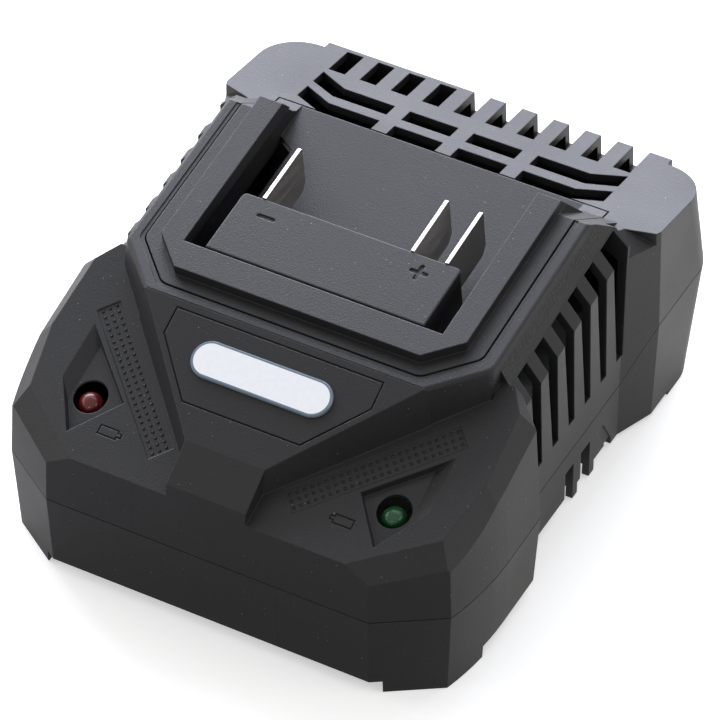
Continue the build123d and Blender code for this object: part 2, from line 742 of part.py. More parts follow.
def bay_insert():
    """Rim, ledge, rails and floor of the battery bay in one moulding."""
    deep = FLOOR_DROP + FLOOR_WALL
    lip_top = -LEDGE_DROP - WALL - FIT
    plate = insert_outline(-FIT, lip_top, -LEDGE_DROP)
    # the rear corners are solid down to the deck
    corner = insert_outline(-FIT, -deep, -LEDGE_DROP - 1) & (Pos(0, 70, 0) * Box(200, 62, 100))
    ledge = rear_slope(BAY * (plate + corner))
    # lip under the edge of the cover that closes the gap from below
    ledge += before(BAY * insert_outline(INSERT_LIP, lip_top - INSERT_LIP_TALL, lip_top), INSERT_LIP_REAR)
    rim_half = collar_plan(RIM_FRONT_OUT, RIM_CUT_X, RIM_OUT_X, 70)
    rim = Pos(0, 0, -LEDGE_DROP - 1) * extrude(plan_face(rim_half), amount=LEDGE_DROP + 1, dir=(0, 0, 1))
    tub_x = UNDERCUT_X + 2.0
    tub_half = collar_plan(RIM_FRONT_IN - 3.0, tub_x - 3, tub_x, 70)
    tub = Pos(0, 0, -deep) * extrude(plan_face(tub_half), amount=deep - LEDGE_DROP, dir=(0, 0, 1))
    raised = below_slope(BAY * (rim + tub), *RIM_END, -RIM_FALL)
    # strip of deck behind the floor
    strip = BAY * insert_outline(-FIT, -30, 30)
    near = (Align.CENTER, Align.MIN, Align.MIN)
    strip = strip & (Pos(0, DECK_FRONT_EDGE - 6, DECK_Z - 3) * Box(200, 20, 20, align=near))
    strip = below_slope(strip, DECK_Y, DECK_Z, -DECK_FALL)
    body = before(ledge + raised + strip, INSERT_END_Y)
    long = 80
    cavity = Pos(0, RIM_FRONT_IN, -FLOOR_DROP) * Box(2 * RIM_IN_X, long, 40, align=near)
    under = FLOOR_DROP - LIP_DEEP
    cavity += Pos(0, RIM_FRONT_IN + 1.0, -FLOOR_DROP) * Box(2 * UNDERCUT_X, long, under, align=near)
    # openings through the floor below the rails
    for side in (-1, 1):
        start = RIM_FRONT_IN + 1.0
        end = start + GUIDE_LONG
        run = [(GUIDE_X, start), (UNDERCUT_X, start), (UNDERCUT_X, end + GUIDE_SLANT), (GUIDE_X, end)]
        face = make_face(Polyline(*[(side * x, y) for x, y in run], close=True))
        cavity += Pos(0, 0, -deep - 1) * extrude(face, amount=FLOOR_WALL + 2, dir=(0, 0, 1))
    body -= BAY * cavity
    for tail in blade_tails():
        body -= tail
    return main_solid(body)


def terminal_block():
    deep = FLOOR_DROP - BLOCK_DROP
    long = BLOCK_REAR - BLOCK_FRONT
    near = (Align.CENTER, Align.MIN, Align.MIN)
    body = Pos(0, BLOCK_FRONT, -FLOOR_DROP) * Box(2 * BLOCK_X, long, deep, align=near)
    rear_edges = body.edges().filter_by(Axis.Z).group_by(Axis.Y)[-1]
    body = fillet(rear_edges, 1.2)
    top_edge = body.faces().sort_by(Axis.Z)[-1].edges()
    body = fillet(top_edge, 0.35)
    # polarity marks pressed into the top
    bar = Pos(0, 0, -BLOCK_DROP - MARK_DEEP) * extrude(SlotOverall(MARK_LONG, MARK_WIDE), amount=1.0)
    body -= Pos(-MARK_X, MARK_Y, 0) * bar
    for turn in (0, 90):
        body -= Pos(MARK_X, MARK_Y, 0) * Rot(0, 0, turn) * bar
    body = BAY * body
    for x, tail in zip(BLADE_XS, blade_tails()):
        body -= blade(x) + tail
    return body


def blade(x):
    """Upright blade on a lower root that is held inside the contact block."""
    plate = Box(BLADE_THICK, BLADE_OUT, BLADE_TALL, align=(Align.CENTER, Align.MIN, Align.MAX))
    tip = plate.edges().filter_by(Axis.X).group_by(Axis.Y)[-1]
    plate = fillet(tip.sort_by(Axis.Z)[-1], BLADE_TIP_ROUND)
    low = plate.edges().filter_by(Axis.X).filter_by_position(Axis.Z, -BLADE_TALL - 0.1, -BLADE_TALL + 0.1)
    plate = chamfer(low.sort_by(Axis.Y)[-1], BLADE_CORNER)
    root_tall = BLADE_TALL - BLADE_ROOT_DROP
    root = Box(BLADE_THICK, BLADE_ROOT, root_tall, align=(Align.CENTER, Align.MAX, Align.MIN))
    return BAY * (Pos(x, BLOCK_REAR, BLADE_TOP) * (plate + Pos(0, 0, -BLADE_TALL) * root))


def lamp(side):
    """Round-topped lamp with its collar."""
    radius = LAMP_D / 2
    base = LAMP_TOP_Z - LAMP_TALL
    body = Pos(0, 0, base) * Cylinder(radius, LAMP_TALL - radius, align=LOW)
    body += Pos(0, 0, LAMP_TOP_Z - radius) * Sphere(radius)
    body += Pos(0, 0, base) * Cylinder(LAMP_FLANGE_D / 2, 1.0, align=LOW)
    return Pos(side * LAMP_X, LAMP_Y, 0) * body


def lamp_legs(side):
    base = LAMP_TOP_Z - LAMP_TALL
    legs = []
    for shift in (-1.27, 1.27):
        leg = Box(0.5, 0.5, base - BOARD_Z + 1.5, align=HIGH)
        legs.append(Pos(side * LAMP_X + shift, LAMP_Y, base) * leg)
    return Compound(children=legs)


def lamp_spacer(side):
    """Tube that holds a lamp off the board."""
    base = LAMP_TOP_Z - LAMP_TALL
    tube = Cylinder(3.2, base - BOARD_TOP, align=LOW)
    for shift in (-1.27, 1.27):
        tube -= Pos(shift, 0, -1) * Cylinder(0.45, 60, align=LOW)
    return Pos(side * LAMP_X, LAMP_Y, BOARD_TOP) * tube


def badge():
    wide = BADGE_LONG - BADGE_HIGH
    pill = extrude(SlotCenterToCenter(wide, BADGE_HIGH), amount=BADGE_THICK)
    pill = chamfer(pill.faces().sort_by(Axis.Z)[-1].edges(), BADGE_EDGE)
    return Pos(0, BADGE_Y, on_hood(BADGE_Y)) * Rot(HOOD_TIP, 0, 0) * pill


def main_board():
    long = BOARD_REAR - BOARD_FRONT
    mid = (BOARD_REAR + BOARD_FRONT) / 2
    body = Pos(0, mid, BOARD_Z) * Box(BOARD_X, long, BOARD_THICK, align=LOW)
    body = chamfer(body.edges().filter_by(Axis.Z), 5)
    for x, y in BOARD_SCREWS:
        body -= Pos(x, y, BOARD_Z - 1) * Cylinder(1.6, 5, align=LOW)
    for part in through_board():
        for leg in part.solids():
            body -= leg
    return body


def screw(head_z, long, up=True):
    turn = 1 if up else -1
    head = Cylinder(SCREW_HEAD_D / 2, SCREW_HEAD_TALL, align=LOW)
    head = fillet(head.edges().sort_by(Axis.Z)[-1], 0.8)
    head -= Pos(0, 0, SCREW_HEAD_TALL) * (Box(3.0, 0.8, 1.6) + Box(0.8, 3.0, 1.6))
    shank = Cylinder(SCREW_SHANK_D / 2, long, align=HIGH)
    body = head + shank
    if turn < 0:
        body = Rot(180, 0, 0) * body
    return Pos(0, 0, head_z) * body


def board_screws():
    return Compound(children=[Pos(x, y, 0) * screw(BOARD_TOP, BOARD_THICK + 4.5) for x, y in BOARD_SCREWS])


def housing_screws():
    seat = FOOT + HEAD_POCKET_DEEP
    return Compound(children=[Pos(x, y, 0) * screw(seat, 14.0, False) for x, y in HOUSING_SCREWS])


def transformer_core():
    """Two E halves joined round the winding."""
    x, y = CORE_AT
    frame = Box(CORE_X, 9.0, CORE_TALL, align=LOW)
    window_tall = CORE_TALL - 2 * LEG
    frame -= Pos(0, 0, LEG) * Box(CORE_X - 2 * LEG, 20, window_tall, align=LOW)
    frame += Pos(0, 0, LEG - 1) * Box(5.0, 9.0, window_tall + 2, align=LOW)
    return Pos(x, y, BOARD_TOP + 2.0) * frame


def transformer_winding():
    x, y = CORE_AT
    window_tall = CORE_TALL - 2 * LEG
    tall = window_tall - 2.0
    body = Box(CORE_X - 2 * LEG - 0.6, CORE_Y - 4, tall, align=LOW)
    body = fillet(body.edges().filter_by(Axis.Z), 4.0)
    body -= Pos(0, 0, -1) * Box(5.4, 9.4, tall + 2, align=LOW)
    return Pos(x, y, BOARD_TOP + 2.0 + LEG + 1.0) * body


def transformer_bobbin():
    x, y = CORE_AT
    window_tall = CORE_TALL - 2 * LEG
    body = None
    for z in (LEG + 0.1, LEG + window_tall - 0.8):
        flange = Pos(0, 0, z) * Box(CORE_X - 2 * LEG - 0.4, CORE_Y, 0.7, align=LOW)
        flange -= Pos(0, 0, z - 1) * Box(5.4, 9.4, 3, align=LOW)
        body = flange if body is None else body + flange
    for end in (-1, 1):
        foot = Pos(0, end * (CORE_Y / 2 - 2.0), 0) * Box(CORE_X - 2 * LEG - 0.4, 4.0, LEG + 0.2, align=LOW)
        body += foot
    body = Pos(x, y, BOARD_TOP + 2.0) * body
    for end in (-1, 1):
        for n in range(4):
            pin = Box(0.7, 0.7, 5.2, align=LOW)
            body += Pos(x - 4.5 + 3 * n, y + end * (CORE_Y / 2 - 1.5), BOARD_TOP - 2.6) * pin
    return body


def can(x, y, radius, tall):
    """Electrolytic capacitor standing on the board."""
    body = Pos(x, y, BOARD_TOP) * Cylinder(radius, tall, align=LOW)
    top = body.edges().sort_by(Axis.Z)[-1]
    body = fillet(top, 0.8)
    body -= Pos(x, y, BOARD_TOP + tall) * (Box(radius * 1.4, 0.4, 0.6) + Box(0.4, radius * 1.4, 0.6))
    return body


def bulk_capacitor():
    return can(*BULK_CAN)


def output_capacitors():
    return Compound(children=[can(*place) for place in OUTPUT_CANS])


def heat_sink(x, y, long, tall):
    """Folded plate with a foot on the board."""
    body = Pos(x, y, BOARD_TOP) * Box(2.0, long, tall, align=LOW)
    body += Pos(x + 4.0, y, BOARD_TOP + tall - 2.0) * Box(8.0, long, 2.0, align=LOW)
    body = fillet(body.edges().filter_by(Axis.Y).group_by(Axis.Z)[-1].sort_by(Axis.X)[0], 1.0)
    for shift in (-long / 2 + 3, long / 2 - 3):
        body += Pos(x, y + shift, BOARD_Z - 1.2) * Box(1.2, 2.4, 3.0, align=LOW)
    return body - clip_screw(x, y, CLIP_Z)


def power_device(x, y, z):
    """Flat tab package lying against a heat sink, legs into the board."""
    body = Pos(x - 3.2, y, z) * Box(4.4, 10.0, 9.0, align=LOW)
    tab = Pos(x - 1.6, y, z) * Box(1.2, 10.0, 15.5, align=LOW)
    tab -= Pos(x - 1.6, y, z + 12.5) * Rot(0, 90, 0) * Cylinder(1.7, 6)
    body += tab
    for n in (-1, 0, 1):
        body += Pos(x - 3.2, y + 2.54 * n, BOARD_Z - 1.0) * Box(0.5, 0.8, z - BOARD_Z + 1.5, align=LOW)
    return body


def switching_transistor():
    x, y, _, _ = SINK_IN
    return power_device(x, y, BOARD_TOP + 4.5)


def output_rectifier():
    x, y, _, _ = SINK_OUT
    return power_device(x, y, BOARD_TOP + 4.5)


def clip_screw(x, y, z):
    head = Rot(0, -90, 0) * Cylinder(2.6, 1.8, align=LOW)
    shank = Rot(0, 90, 0) * Cylinder(1.4, 5.0, align=LOW)
    return Pos(x - 2.2, y, z) * (head + shank)


def device_screws():
    pair = []
    for x, y, _, _ in (SINK_IN, SINK_OUT):
        pair.append(clip_screw(x, y, CLIP_Z))
    return Compound(children=pair)


def choke_core():
    x, y = CHOKE_AT
    ring = Cylinder(8.5, 7.0, align=LOW) - Pos(0, 0, -1) * Cylinder(4.3, 10, align=LOW)
    ring = fillet(ring.edges(), 0.5)
    return Pos(x, y, BOARD_TOP + 2.2) * ring


def choke_winding():
    """Two coils on opposite sides of the ring."""
    x, y = CHOKE_AT
    coils = []
    for half in (0, 180):
        for step in range(-3, 4):
            turn = Box(8.6, 1.35, 9.4, align=(Align.CENTER, Align.CENTER, Align.CENTER))
            hole = Box(4.4, 3, 7.06, align=(Align.CENTER, Align.CENTER, Align.CENTER))
            ring = turn - hole
            coils.append(Rot(0, 0, half + step * 17) * Pos(6.35, 0, 0) * ring)
    body = coils[0]
    for coil in coils[1:]:
        body = body + coil
    body = Pos(x, y, BOARD_TOP + 5.7) * body
    for end in (-1, 1):
        body += Pos(x + 6.3 * end, y, BOARD_Z - 1.0) * Box(0.9, 0.9, 4.2, align=LOW)
    return body


def line_capacitor():
    x, y, wide, long, tall = LINE_BOX
    box = Pos(x, y, BOARD_TOP) * Box(wide, long, tall, align=LOW)
    return fillet(box.edges().filter_by(Axis.Z), 0.8)


def fuse():
    return Pos(FUSE_X, FUSE_Y, FUSE_Z) * Rot(90, 0, 0) * Cylinder(2.0, 9.0)


def fuse_caps():
    x, y, z = FUSE_X, FUSE_Y, FUSE_Z
    caps = []
    for end in (-1, 1):
        cap = Rot(90, 0, 0) * Cylinder(2.5, 5.0)
        cap -= Pos(0, -end * 1.0, 0) * Rot(90, 0, 0) * Cylinder(2.02, 5.0)
        clip = Box(1.2, 2.4, z - BOARD_Z - 1.0, align=HIGH)
        caps.append(Pos(x, y + end * 5.5, z) * cap + Pos(x, y + end * 6.9, z - 2.1) * clip)
    return Compound(children=caps)


def bridge_rectifier():
    x, y, wide, long, tall = BRIDGE
    body = Pos(x, y, BOARD_TOP + 3.0) * Box(wide, long, tall, align=LOW)
    body = chamfer(body.edges().filter_by(Axis.Y).group_by(Axis.Z)[-1].sort_by(Axis.X)[-1], 2.0)
    for n in range(4):
        body += Pos(x + BRIDGE_PITCH * (n - 1.5), y, BOARD_Z - 1.0) * Box(0.8, 0.8, 6.0, align=LOW)
    return body


def control_chips():
    """Two small packages on the board, each with its row of legs."""
    chips = []
    for x, y, wide, long in CHIPS:
        body = Pos(x, y, BOARD_TOP + 0.5) * Box(wide, long, CHIP_TALL, align=LOW)
        count = int(long / CHIP_PITCH)
        for side in (-1, 1):
            for n in range(count):
                leg_y = y + (n - (count - 1) / 2) * CHIP_PITCH
                leg = Box(0.9, 1.0, 4.2, align=LOW)
                body += Pos(x + side * (wide / 2 + 0.4), leg_y, BOARD_TOP - 2.0) * leg
        chips.append(body)
    return Compound(children=chips)


def mains_inlet():
    """Two-pole inlet with a figure-eight mouth, flange outside the rear wall."""
    body = Box(INLET_WIDE, INLET_DEEP, INLET_TALL, align=(Align.CENTER, Align.MAX, Align.CENTER))
    body = fillet(body.edges().filter_by(Axis.Y), 3.0)
    flange = Box(INLET_FACE_WIDE, INLET_FACE_THICK, INLET_FACE_TALL, align=(Align.CENTER, Align.MIN, Align.CENTER))
    flange = fillet(flange.edges().filter_by(Axis.Y), 3.6)
    body += flange
    mouth = Rot(90, 0, 0) * SlotCenterToCenter(6.6, 7.6)
    body -= Pos(0, INLET_FACE_THICK, 0) * extrude(mouth, amount=11, dir=(0, -1, 0))
    for end in (-1, 1):
        body -= Pos(end * PIN_PITCH / 2, 0, 0) * Rot(90, 0, 0) * Cylinder(1.15, 60)
    return Pos(INLET_X, INLET_SEAT_Y, INLET_Z) * body


def inlet_pins():
    pins = []
    for end in (-1, 1):
        pin = Rot(90, 0, 0) * Cylinder(1.1, PIN_LONG)
        y = INLET_SEAT_Y - PIN_OUT - PIN_LONG / 2
        pins.append(Pos(INLET_X + end * PIN_PITCH / 2, y, INLET_Z) * pin)
    return Compound(children=pins)


def wire(points, bend, radius=0.9):
    """Insulated lead of straight runs and bends."""
    path = FilletPolyline(*[Vector(*p) for p in points], radius=bend)
    start = Plane(origin=path @ 0, z_dir=path % 0)
    return sweep(start * Circle(radius), path=path)


def inlet_leads():
    y = INLET_SEAT_Y - PIN_OUT - PIN_LONG
    turn = y - LEAD_RUN
    leads = []
    for end in (-1, 1):
        x = INLET_X + end * PIN_PITCH / 2
        leads.append(wire([(x, y, INLET_Z), (x, turn, INLET_Z), (x, turn, BOARD_TOP - 0.4)], 2.0))
    return Compound(children=leads)


def blade_tails():
    """Solder tails from the blades down through the floor of the bay."""
    tails = []
    for x in BLADE_XS:
        long = FLOOR_DROP + FLOOR_WALL + 3.0 - BLADE_TALL
        tail = Box(BLADE_THICK, 3.0, long, align=(Align.CENTER, Align.MIN, Align.MAX))
        tails.append(BAY * (Pos(x, BLOCK_REAR - BLADE_ROOT, BLADE_TOP - BLADE_TALL) * tail))
    return tails


def output_leads():
    leads = []
    ends = {BLADE_XS[0]: (-14.0, 30.0), BLADE_XS[1]: (8.5, 30.0), BLADE_XS[2]: (12.5, 30.0)}
    for x in BLADE_XS:
        tip = BAY * Pos(x, BLOCK_REAR - BLADE_ROOT + 1.5, -FLOOR_DROP - FLOOR_WALL - 3.2)
        top = tip.position
        ex, ey = ends[x]
        down = (top.X, top.Y, top.Z)
        knee = (top.X, top.Y, top.Z - 8.0)
        leads.append(wire([down, knee, (ex, ey, BOARD_TOP + 7), (ex, ey, BOARD_TOP - 0.4)], 3.0, 1.0))
    return Compound(children=leads)


def through_board():
    """Pieces whose legs pass through the board."""
    parts = [transformer_bobbin(), heat_sink(*SINK_IN), heat_sink(*SINK_OUT)]
    parts += [switching_transistor(), output_rectifier(), choke_winding(), bridge_rectifier()]
    parts += [control_chips(), fuse_caps(), inlet_leads(), output_leads()]
    return parts + [lamp_legs(side) for side in (-1, 1)]


def rating_plate():
    return Pos(0, 70.0, FOOT - 0.4) * Box(46.0, 34.0, 0.4, align=LOW)


def contact(x, tail):
    return blade(x) + tail


NODES = {
    "top_cover": top_cover,
    "bottom_cover": bottom_cover,
    "bay_insert": bay_insert,
    "terminal_block": terminal_block,
    "blade_negative": lambda: contact(BLADE_XS[0], blade_tails()[0]),
    "blade_signal": lambda: contact(BLADE_XS[1], blade_tails()[1]),
    "blade_positive": lambda: contact(BLADE_XS[2], blade_tails()[2]),
    "lamp_red": lambda: lamp(-1),
    "lamp_green": lambda: lamp(1),
    "lamp_legs_red": lambda: lamp_legs(-1),
    "lamp_legs_green": lambda: lamp_legs(1),
    "lamp_spacer_red": lambda: lamp_spacer(-1),
    "lamp_spacer_green": lambda: lamp_spacer(1),
    "badge_plate": badge,
    "main_board": main_board,
    "board_screws": board_screws,
    "housing_screws": housing_screws,
    "transformer_core": transformer_core,
    "transformer_winding": transformer_winding,
    "transformer_bobbin": transformer_bobbin,
    "bulk_capacitor": bulk_capacitor,
    "output_capacitors": output_capacitors,
    "input_heat_sink": lambda: heat_sink(*SINK_IN),
    "output_heat_sink": lambda: heat_sink(*SINK_OUT),
    "switching_transistor": switching_transistor,
    "output_rectifier": output_rectifier,
    "device_screws": device_screws,
    "choke_core": choke_core,
    "choke_winding": choke_winding,
    "line_capacitor": line_capacitor,
    "fuse_tube": fuse,
    "fuse_caps": fuse_caps,
    "bridge_rectifier": bridge_rectifier,
    "control_chips": control_chips,
    "mains_inlet": mains_inlet,
    "inlet_pins": inlet_pins,
    "inlet_leads": inlet_leads,
    "output_leads": output_leads,
    "rating_plate": rating_plate,
}

os.makedirs("parts", exist_ok=True)
for name, make in NODES.items():
    shape = Pos(0, -CENTRE_Y, 0) * make()
    box = shape.bounding_box()
    corners = [round(v, 1) for v in (*box.min, *box.max)]
    print(name, len(shape.solids()), corners, round(shape.volume, 1), flush=True)
    export_step(shape, "parts/" + name + ".step")
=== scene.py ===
import math
import json

import bmesh
import bpy
from mathutils import Matrix, Vector


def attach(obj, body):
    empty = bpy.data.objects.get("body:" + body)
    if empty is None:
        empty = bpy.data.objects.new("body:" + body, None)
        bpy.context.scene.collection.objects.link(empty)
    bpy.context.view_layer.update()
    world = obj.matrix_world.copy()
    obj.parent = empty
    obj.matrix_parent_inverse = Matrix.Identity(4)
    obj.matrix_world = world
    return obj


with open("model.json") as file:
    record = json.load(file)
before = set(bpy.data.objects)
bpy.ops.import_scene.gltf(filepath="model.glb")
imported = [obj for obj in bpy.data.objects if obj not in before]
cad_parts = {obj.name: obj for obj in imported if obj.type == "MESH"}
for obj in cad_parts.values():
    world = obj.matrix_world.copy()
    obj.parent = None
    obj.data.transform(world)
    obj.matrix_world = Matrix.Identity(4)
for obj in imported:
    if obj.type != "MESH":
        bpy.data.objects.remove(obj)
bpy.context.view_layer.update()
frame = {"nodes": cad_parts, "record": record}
nodes = frame["nodes"]
mm = 0.001
print("charger frame loaded:", len(nodes), "nodes")


# helpers for node trees
def addNode(tree, kind, **settings):
    node = tree.nodes.new(kind)
    for name, value in settings.items():
        setattr(node, name, value)
    return node


def feed(tree, value, socket):
    # numbers and colours are set on the socket, anything else is linked to it
    if isinstance(value, tuple):
        socket.default_value = (*value, 1.0) if len(socket.default_value) == 4 else value
    elif isinstance(value, (int, float)):
        socket.default_value = value
    else:
        tree.links.new(value, socket)


def maths(tree, operation, *values, clamp=False):
    node = addNode(tree, "ShaderNodeMath", operation=operation, use_clamp=clamp)
    for value, socket in zip(values, node.inputs):
        feed(tree, value, socket)
    return node.outputs[0]


def product(tree, first, *others):
    for other in others:
        first = maths(tree, "MULTIPLY", first, other)
    return first


def remap(tree, value, fromLow, fromHigh, toLow=0.0, toHigh=1.0):
    node = addNode(tree, "ShaderNodeMapRange", clamp=True)
    labels = ("Value", "From Min", "From Max", "To Min", "To Max")
    for label, number in zip(labels, (value, fromLow, fromHigh, toLow, toHigh)):
        feed(tree, number, node.inputs[label])
    return node.outputs["Result"]


def mixColour(tree, factor, first, second):
    node = addNode(tree, "ShaderNodeMix", data_type="RGBA")
    for value, index in ((factor, 0), (first, 6), (second, 7)):
        feed(tree, value, node.inputs[index])
    return node.outputs[2]


def addTexture(tree, kind, coords, values, **settings):
    node = addNode(tree, kind, **settings)
    tree.links.new(coords, node.inputs["Vector"])
    for label, value in values.items():
        feed(tree, value, node.inputs[label])
    return node.outputs


def splitAxes(tree, coords):
    split = addNode(tree, "ShaderNodeSeparateXYZ")
    tree.links.new(coords, split.inputs["Vector"])
    return split.outputs["X"], split.outputs["Y"], split.outputs["Z"]


def startGroup(name, inputs, outputs):
    group = bpy.data.node_groups.new(name, "ShaderNodeTree")
    for label, kind, default in inputs:
        socket = group.interface.new_socket(name=label, in_out="INPUT", socket_type=kind)
        if default is not None:
            socket.default_value = default
    for label, kind in outputs:
        group.interface.new_socket(name=label, in_out="OUTPUT", socket_type=kind)
    return group, addNode(group, "NodeGroupInput").outputs, addNode(group, "NodeGroupOutput").inputs


# shared effects, one node group each
wearShape = {
    "flat": 0.995, "sharp": 0.90, "samples": 6,
    "patchScale": 260.0, "patchDetail": 4.0, "patchLow": 0.42, "patchHigh": 0.62,
}


def makeEdgeGroup():
    # an edge is where the rounded normal leaves the true one
    group, inside, out = startGroup(
        "edgeWear",
        [("Radius", "NodeSocketFloat", 0.0004), ("Coords", "NodeSocketVector", None)],
        [("Mask", "NodeSocketFloat"), ("Normal", "NodeSocketVector")],
    )
    link = group.links.new
    bevel = addNode(group, "ShaderNodeBevel", samples=wearShape["samples"])
    link(inside["Radius"], bevel.inputs["Radius"])
    geometry = addNode(group, "ShaderNodeNewGeometry")
    dot = addNode(group, "ShaderNodeVectorMath", operation="DOT_PRODUCT")
    link(bevel.outputs["Normal"], dot.inputs[0])
    link(geometry.outputs["Normal"], dot.inputs[1])
    sharp = remap(group, dot.outputs["Value"], wearShape["flat"], wearShape["sharp"])
    patches = addTexture(group, "ShaderNodeTexNoise", inside["Coords"],
                         {"Scale": wearShape["patchScale"], "Detail": wearShape["patchDetail"]})
    broken = remap(group, patches["Fac"], wearShape["patchLow"], wearShape["patchHigh"])
    link(product(group, sharp, broken), out["Mask"])
    link(bevel.outputs["Normal"], out["Normal"])
    return group


grainShape = {
    "fineDetail": 2.0, "fineRough": 0.6, "toneLow": 0.25, "toneHigh": 0.75,
    "pitScale": 0.8, "pitSoft": 0.6, "pitShare": 0.7,
    "cloudScale": 38.0, "cloudDetail": 5.0, "cloudLow": 0.3, "cloudHigh": 0.7,
}


def makeGrainGroup():
    group, inside, out = startGroup(
        "mouldGrain",
        [("Coords", "NodeSocketVector", None), ("Scale", "NodeSocketFloat", 3200.0)],
        [("Height", "NodeSocketFloat"), ("Tone", "NodeSocketFloat"), ("Cloud", "NodeSocketFloat")],
    )
    link = group.links.new
    coords, scale = inside["Coords"], inside["Scale"]
    fine = addTexture(group, "ShaderNodeTexNoise", coords, {
        "Scale": scale, "Detail": grainShape["fineDetail"], "Roughness": grainShape["fineRough"]})
    pits = addTexture(group, "ShaderNodeTexVoronoi", coords, {
        "Scale": product(group, scale, grainShape["pitScale"]),
        "Smoothness": grainShape["pitSoft"]}, feature="SMOOTH_F1")
    pitHeight = product(group, pits["Distance"], grainShape["pitShare"])
    link(maths(group, "ADD", fine["Fac"], pitHeight), out["Height"])
    link(remap(group, fine["Fac"], grainShape["toneLow"], grainShape["toneHigh"]), out["Tone"])
    cloud = addTexture(group, "ShaderNodeTexNoise", coords, {
        "Scale": grainShape["cloudScale"], "Detail": grainShape["cloudDetail"]})
    link(remap(group, cloud["Fac"], grainShape["cloudLow"], grainShape["cloudHigh"]), out["Cloud"])
    return group


dustShape = {"smallest": 0.03, "largest": 0.14, "soft": 0.05}


def makeDustGroup():
    group, inside, out = startGroup(
        "dustSpecks",
        [("Coords", "NodeSocketVector", None), ("Scale", "NodeSocketFloat", 900.0),
         ("Share", "NodeSocketFloat", 0.3)],
        [("Mask", "NodeSocketFloat")],
    )
    link = group.links.new
    cells = addTexture(group, "ShaderNodeTexVoronoi", inside["Coords"], {"Scale": inside["Scale"]},
                       feature="F1")
    split = addNode(group, "ShaderNodeSeparateColor")
    link(cells["Color"], split.inputs["Color"])
    chosen = maths(group, "LESS_THAN", split.outputs["Red"], inside["Share"])
    size = remap(group, split.outputs["Green"], 0.0, 1.0, dustShape["smallest"], dustShape["largest"])
    near = maths(group, "SUBTRACT", size, cells["Distance"])
    link(product(group, remap(group, near, 0.0, dustShape["soft"]), chosen), out["Mask"])
    return group


badgeShape = {
    "straight": 0.0119, "radius": 0.0041, "y": -0.0407, "z": 0.051105,
    "tip": math.atan(0.51), "soft": 0.00004,
}


def makePillGroup():
    # distance inside the outline of the badge, measured on its slope
    group, inside, out = startGroup(
        "pillRim",
        [("Coords", "NodeSocketVector", None), ("Rim", "NodeSocketFloat", 0.0006)],
        [("Mask", "NodeSocketFloat")],
    )
    x, y, z = splitAxes(group, inside["Coords"])
    tip, soft = badgeShape["tip"], badgeShape["soft"]
    past = maths(group, "SUBTRACT", maths(group, "ABSOLUTE", x), badgeShape["straight"])
    past = maths(group, "MAXIMUM", past, 0.0)
    run = product(group, maths(group, "SUBTRACT", y, badgeShape["y"]), math.cos(tip))
    climb = product(group, maths(group, "SUBTRACT", z, badgeShape["z"]), math.sin(tip))
    up = maths(group, "ADD", run, climb)
    far = maths(group, "ADD", product(group, past, past), product(group, up, up))
    inset = maths(group, "SUBTRACT", badgeShape["radius"], maths(group, "SQRT", far))
    left = maths(group, "SUBTRACT", inset, inside["Rim"])
    group.links.new(remap(group, left, -soft, soft, 1.0, 0.0), out["Mask"])
    return group


lineShape = {"core": 0.00002, "edge": 0.00009}


def makeLineGroup():
    # thin upright joint in the front wall
    group, inside, out = startGroup(
        "mouldLine",
        [("Coords", "NodeSocketVector", None), ("Across", "NodeSocketFloat", 0.0),
         ("Low", "NodeSocketFloat", 0.0), ("High", "NodeSocketFloat", 0.02),
         ("Front", "NodeSocketFloat", -0.06)],
        [("Mask", "NodeSocketFloat")],
    )
    x, y, z = splitAxes(group, inside["Coords"])
    off = maths(group, "ABSOLUTE", maths(group, "SUBTRACT", x, inside["Across"]))
    line = remap(group, off, lineShape["core"], lineShape["edge"], 1.0, 0.0)
    above = maths(group, "GREATER_THAN", z, inside["Low"])
    under = maths(group, "LESS_THAN", z, inside["High"])
    front = maths(group, "LESS_THAN", y, inside["Front"])
    group.links.new(product(group, above, under, front, line), out["Mask"])
    return group


bandShape = {
    "rise": 0.1405, "level": 0.0626, "top": 0.0052, "foot": 0.0076, "inner": 0.0425, "soft": 0.0002,
    "bumpLow": 0.1, "bumpHigh": 0.6,
}


def makeBandGroup():
    # pebbled strip on the slope under the raised surround
    group, inside, out = startGroup(
        "pebbledBand",
        [("Coords", "NodeSocketVector", None), ("Scale", "NodeSocketFloat", 1500.0)],
        [("Height", "NodeSocketFloat")],
    )
    x, y, z = splitAxes(group, inside["Coords"])
    top, foot, soft = bandShape["top"], bandShape["foot"], bandShape["soft"]
    level = maths(group, "MULTIPLY_ADD", y, bandShape["rise"], bandShape["level"])
    drop = maths(group, "SUBTRACT", level, z)
    upper = remap(group, drop, top - soft, top)
    lower = remap(group, drop, foot, foot + soft, 1.0, 0.0)
    outer = maths(group, "GREATER_THAN", maths(group, "ABSOLUTE", x), bandShape["inner"])
    cells = addTexture(group, "ShaderNodeTexVoronoi", inside["Coords"], {"Scale": inside["Scale"]},
                       feature="F1")
    bumps = remap(group, cells["Distance"], bandShape["bumpLow"], bandShape["bumpHigh"], 1.0, 0.0)
    group.links.new(product(group, upper, lower, outer, bumps), out["Height"])
    return group


edgeWear = makeEdgeGroup()
pillRim = makePillGroup()
mouldLine = makeLineGroup()
mouldGrain = makeGrainGroup()
dustSpecks = makeDustGroup()
pebbledBand = makeBandGroup()


def startMaterial(name, **values):
    material = bpy.data.materials.new(name)
    material.use_nodes = True
    tree = material.node_tree
    shader = tree.nodes["Principled BSDF"]
    for label, value in values.items():
        feed(tree, value, shader.inputs[label.replace("_", " ")])
    coords = addNode(tree, "ShaderNodeTexCoord").outputs["Object"]
    return material, tree, shader.inputs, coords


